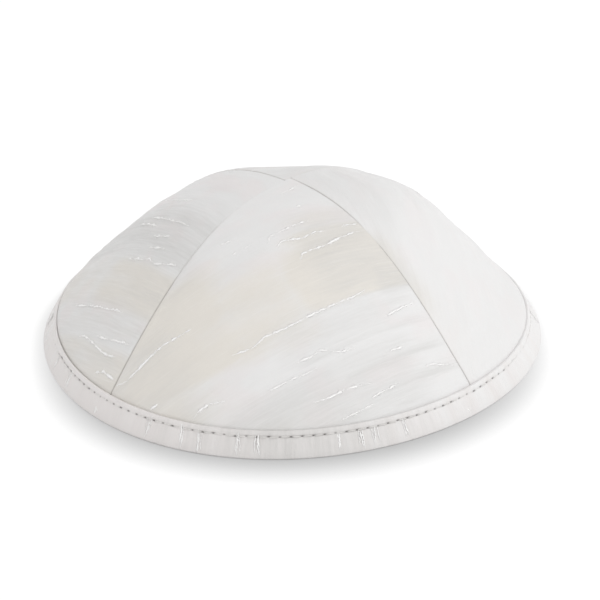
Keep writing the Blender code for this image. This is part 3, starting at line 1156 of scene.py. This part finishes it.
def panel_satin(name, grain, streaks):
    """Colour, roughness and relief of the satin, with its pattern turned to a grain angle."""
    made, shader, wire = start_material(name, 0.5, 0.12)
    x, y = wire.node("ShaderNodeUVMap", {"uv_map": "cut"}).axes()
    angle = radians(grain)
    along, across = x * cos(angle) + y * sin(angle), y * cos(angle) - x * sin(angle)
    across = across + (wire.noise((along, 9), (across, 5)) - 0.5) * (0.9 * MM)
    broad = wire.noise((along, 45), (across, 5.5), 3.0)
    drawn = wire.noise((along, 11), (across, 0.9), 3.0)
    fine = wire.noise((along, 2.6), (across, 0.3))
    patch = wire.noise((along, 26), (across, 11))
    hair = wire.noise((along, 15), (across, 0.42), 1.0)
    blush = wire.noise((along, 19), (across + BLUSH_SHIFT, 12))
    weave = (along * (tau / WEFT)).sine() * (across * (tau / WARP)).sine()

    colour = (blush.between(0.45, 0.7) * (0.9 * streaks)).mix(COOL, BLUSH)
    warm = wire.stored("warmth") * (patch * 1.3 + 0.3)
    warm = warm + (broad - 0.5) * (0.4 * streaks) + (drawn - 0.5) * (0.3 * streaks)
    colour = warm.between(-0.05, 1.1).mix(colour, WARM)
    # painted shade from the bands and painted shadow under the slubs, with the satin's own grey noise
    dark = wire.stored("shade") + wire.stored("slub_shade") * 0.12
    dark = dark + (broad - 0.5) * (0.45 * streaks) + (drawn - 0.5) * (0.45 * streaks) + (fine - 0.5) * 0.12
    colour = dark.between(0.0, 1.3).mix(colour, GREY_AND_SHADE)
    colour = (hair.between(0.66, 0.82) * (0.25 * streaks)).mix(colour, HAIR)
    # painted shadow in the seams' creases
    colour = (wire.stored("seam") * 0.6).mix(colour, SEAM_SHADOW_COLOUR)
    plug(colour, shader, "Base Color")
    sheen_of_threads(wire, shader, drawn, fine)
    relief(wire, shader, weave * 0.22 + fine * 0.5 + drawn * 1.1 + broad * 1.6, RELIEF)
    return made


for key, panel in PANELS.items():
    cloth[key].data.materials.append(panel_satin(f"{key}_satin", panel.grain, panel.streaks))
print("panel satin:", [obj.data.materials[0].name for obj in cloth.values()])

# %% [markdown]
# ## Binding satin
#
# The binding is the same cloth with its threads drawn out across the strip. Its needle holes get a
# painted shadow from a value stored on the mesh, because a hole is deeper than the mesh can show, and
# the front of the strip gets a painted shade that is darkest in the middle.

# %% Binding satin
PIT_SHADOW_COLOUR = (0.055, 0.045, 0.04, 1.0)
RIM_COOL = (0.785, 0.777, 0.772, 1.0)
RIM_WARM = (0.768, 0.735, 0.722, 1.0)


def binding_satin():
    """The satin on the strip: x runs round the rim, y over the strip from its outer top edge."""
    made, shader, wire = start_material("binding_satin", 0.5, 0.12)
    x, y = wire.node("ShaderNodeUVMap", {"uv_map": "cut"}).axes()
    broad = wire.noise((x, 6), (y, 60))
    drawn = wire.noise((x, 1.1), (y, 9), 3.0)
    fine = wire.noise((x, 0.3), (y, 2.4))
    weave = (x * (tau / WARP)).sine() * (y * (tau / WEFT)).sine()
    warm = broad * 1.2 - 0.5 + wire.stored("warmth")
    colour = warm.between(0.0, 1.0).mix(RIM_COOL, RIM_WARM)
    # painted shade at the front of the strip, with the satin's own grey noise
    dark = wire.stored("shade") + (broad - 0.5) * 0.6 + (drawn - 0.5) * 0.5 + (fine - 0.5) * 0.12
    colour = dark.between(0.0, 1.3).mix(colour, GREY_AND_SHADE)
    # painted shadow in the needle holes
    plug(wire.stored("pit").mix(colour, PIT_SHADOW_COLOUR), shader, "Base Color")
    sheen_of_threads(wire, shader, drawn, fine)
    relief(wire, shader, weave * 0.22 + fine * 0.5 + drawn * 1.1, RELIEF)
    return made


binding.data.materials.append(binding_satin())
print("binding:", [m.name for m in binding.data.materials])

# %% [markdown]
# ## Slub thread and sewing thread
#
# Slub thread is whiter and duller than the satin, and fuzzy. Sewing thread is greyer, smoother and
# twisted. Both are one material with different values: two near colours mixed by a fine noise, and
# a relief of the same noise with slanted ridges for the twist.

# %% Slub thread and sewing thread
FUZZ = 0.4 * MM
TWIST = 0.9 * MM


def thread_material(name, light, dark, roughness, twist):
    """A fuzzy or twisted thread: two near colours mixed by noise, and a relief of the same scale."""
    made, shader, wire = start_material(name, roughness, 0.3, 0.3)
    place = wire.node("ShaderNodeTexCoord", None, None, "Object")
    fuzz = wire.node("ShaderNodeTexNoise", None, {"Vector": place, "Scale": 1 / FUZZ, "Detail": 3.0})
    plug(fuzz.between(0.3, 0.7).mix(dark, light), shader, "Base Color")
    plug(roughness - 0.1 + fuzz * 0.2, shader, "Roughness")
    settings = {"wave_type": "BANDS", "bands_direction": "DIAGONAL"}
    sizes = {"Vector": place, "Scale": 1 / TWIST, "Distortion": 1.5}
    bands = wire.node("ShaderNodeTexWave", settings, sizes, "Fac")
    relief(wire, shader, fuzz + bands * twist, 0.05 * MM)
    return made


slub_thread = thread_material("slub_thread", (0.95, 0.94, 0.93, 1), (0.87, 0.86, 0.85, 1), 0.7, 0.1)
sewing_thread = thread_material("sewing_thread", (0.78, 0.765, 0.745, 1), (0.70, 0.685, 0.665, 1), 0.55, 1.0)
topstitch.data.materials.append(sewing_thread)
for obj in [*slubs.values(), rim_slubs]:
    obj.data.materials.append(slub_thread)

# %% [markdown]
# ## Riding the frame
#
# The cap has no moving part, so every piece rides on the one body, root. Each cloth piece replaces
# its CAD solid, which stays behind, hidden, and the size that a panel was cut to is worked out and
# printed. The cut of a panel is its flat outline with a seam allowance on both sides.

# %% Riding the frame
def panel_area():
    """Area of a cut: its width round the cap plus two allowances, summed over its length."""
    share = panel_shares()
    on_dome = np.clip(share, 0.0, 1.0)
    half = seam_radius(on_dome) * QUARTER
    width = 2 * half + 2 * np.minimum(ALLOWANCE, 0.75 * half) + tau * np.minimum(FOLD_RADIUS, 0.3 * half)
    down = -crown_distance(on_dome) - np.clip(share - 1, 0, None) * BINDING_HEIGHT / cos(LEAN_ANGLE)
    return float(np.sum((width[1:] + width[:-1]) / 2 * np.diff(down)))


cut_width = 2 * float(corner_x) + 2 * ALLOWANCE
cut_height = CUT_LENGTH + (BINDING_HEIGHT - HEM_HEIGHT) / cos(LEAN_ANGLE)
area = panel_area()
for key, panel in PANELS.items():
    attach(cloth[key], "root")
    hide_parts(panel.name)
    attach(slubs[key], "root")
print(f"panel cut: {cut_width / MM:.0f} x {cut_height / MM:.0f} mm, {area * 1e4:.1f} cm2")

for piece in (binding, topstitch, rim_slubs):
    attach(piece, "root")
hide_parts("rim_binding")

# %% [markdown]
# ## Floor and backdrop
#
# The cap stands on pure white, with only a thin soft shadow where it touches. A pale floor that also
# glows burns out to white. Close to the cap it glows less, most of all in front: a painted shadow,
# because a lamp alone would leave the shadow too faint. The floor curves up into a wall all round, so
# that no horizon shows from any side.

# %% Floor and backdrop
FLOOR_ALBEDO = 0.4
FLOOR_GLOW = 0.66
PAINTED_SHADOW_REACH = 19.5 * MM  # how far in front of the cap its soft shadow goes
PAINTED_SHADOW_DEPTH = 0.8
FLOOR_SIDES = 72


def floor_with_painted_shadow():
    """A dull white that glows, but less beside the cap as a painted shadow, most of all in front of it."""
    made, shader, wire = start_material("floor_with_painted_shadow", 0.9, 0.0, 0.0)
    x, y = wire.node("ShaderNodeTexCoord", None, None, "Object").axes()
    radius = (x * x + y * y) ** 0.5
    front = ((y * -1.0 + x * 0.06) / (radius + 0.001)).between(0.0, 1.0)
    reach = front * (0.75 * PAINTED_SHADOW_REACH) + 0.25 * PAINTED_SHADOW_REACH
    # painted shadow: the glow drops near the rim, most of all in front
    near = 1.0 - (radius - (RIM_RADIUS - 0.5 * MM)) / reach
    near = near.between(0.0, 1.0) * 0.6 + near.at_least(0.0) ** 1.45 * 0.4
    depth = (front * 0.75 + 0.25) * PAINTED_SHADOW_DEPTH
    glow = (1.0 - near * depth).at_least(0.0) * FLOOR_GLOW
    plug(wire.node("ShaderNodeCombineXYZ", None, {0: glow, 1: glow, 2: glow}), shader, "Emission Color")
    shader.inputs["Base Color"].default_value = (FLOOR_ALBEDO, FLOOR_ALBEDO, FLOOR_ALBEDO, 1.0)
    shader.inputs["Emission Strength"].default_value = 1.0
    return made


def make_backdrop(flat=1.8, bend=0.4, top=1.3):
    """A round floor whose edge curves up into a wall: a profile of (radius, height) turned once."""
    steps = np.linspace(0, pi / 2, 9)
    radius = np.concatenate([np.linspace(0.001, flat, 12), flat + bend * np.sin(steps[1:]), [flat + bend]])
    height = np.concatenate([np.zeros(12), bend * (1 - np.cos(steps[1:])), [top]]) - 0.02 * MM
    azimuth = np.linspace(0, tau, FLOOR_SIDES, endpoint=False)[:, None]
    height = np.broadcast_to(height, (FLOOR_SIDES, len(height)))
    points = np.stack([radius * np.sin(azimuth), -radius * np.cos(azimuth), height], -1)
    obj = make_mesh("floor", points, grid_faces(*points.shape[:2], closed_rows=True)[:, ::-1])
    obj.data.materials.append(floor_with_painted_shadow())
    return obj


floor = make_backdrop()
print(f"{floor.name}: {len(floor.data.polygons)} faces")

# %% [markdown]
# ## Light
#
# A pale sky lights the cap from everywhere. One wide soft lamp high on the right makes the right panel
# the brightest and the left one the darkest, and a weaker lamp at the front left keeps the front
# from going grey.

# %% Light
SKY = 0.52


def lamp(name, place, size, power):
    """A square soft lamp at a place, turned to face the cap."""
    data = bpy.data.lights.new(name, "AREA")
    data.size = size
    data.energy = power
    obj = bpy.data.objects.new(name, data)
    bpy.context.scene.collection.objects.link(obj)
    away = Vector(place)
    obj.matrix_world = Matrix.Translation(away) @ away.to_track_quat("Z", "Y").to_matrix().to_4x4()
    return obj


lamps = [
    lamp("right_lamp", (0.85, -0.1, 1.36), 1.0, 10.6),
    lamp("front_lamp", (-0.9, -1.2, 1.0), 1.0, 2.7),
]
world = bpy.data.worlds.new("studio")
world.use_nodes = True
world.node_tree.nodes["Background"].inputs["Color"].default_value = (1.0, 1.0, 1.0, 1.0)
world.node_tree.nodes["Background"].inputs["Strength"].default_value = SKY
bpy.context.scene.world = world
bpy.context.scene.view_settings.view_transform = "Standard"
print("lamps:", [(obj.name, obj.data.energy) for obj in lamps])

# %% [markdown]
# ## Camera
#
# The camera looks down at 28 degrees from 0.6 m, rolled by a degree and a half. These values were
# fitted to the outline, rim and seams in the picture. The picture's scale gives the lens, and the
# place where the origin falls in it gives a small shift.

# %% Camera
FRAME_PIXELS = 600
ELEVATION = radians(27.85)
ROLL = radians(1.52)
DISTANCE = 0.616
PIXELS_PER_METRE = 2894.6  # scale of the picture at the origin's distance
ORIGIN_PIXEL = (288.09, 325.54)  # where the origin falls in the picture, from its top left corner

data = bpy.data.cameras.new("camera")
data.sensor_width = 36.0
data.lens = PIXELS_PER_METRE * DISTANCE / FRAME_PIXELS * data.sensor_width
data.shift_x = 0.5 - ORIGIN_PIXEL[0] / FRAME_PIXELS
data.shift_y = ORIGIN_PIXEL[1] / FRAME_PIXELS - 0.5
data.clip_start = 0.01
camera = bpy.data.objects.new("camera", data)
bpy.context.scene.collection.objects.link(camera)
eye = Vector((0.0, -cos(ELEVATION) * DISTANCE, sin(ELEVATION) * DISTANCE))
aim = (-eye).to_track_quat("-Z", "Y").to_matrix().to_4x4()
camera.matrix_world = Matrix.Translation(eye) @ aim @ Matrix.Rotation(-ROLL, 4, "Z")
bpy.context.scene.camera = camera
print(f"camera: {data.lens:.1f} mm lens, shift {data.shift_x:.4f}, {data.shift_y:.4f}")

# %% [markdown]
# ## Finish
#
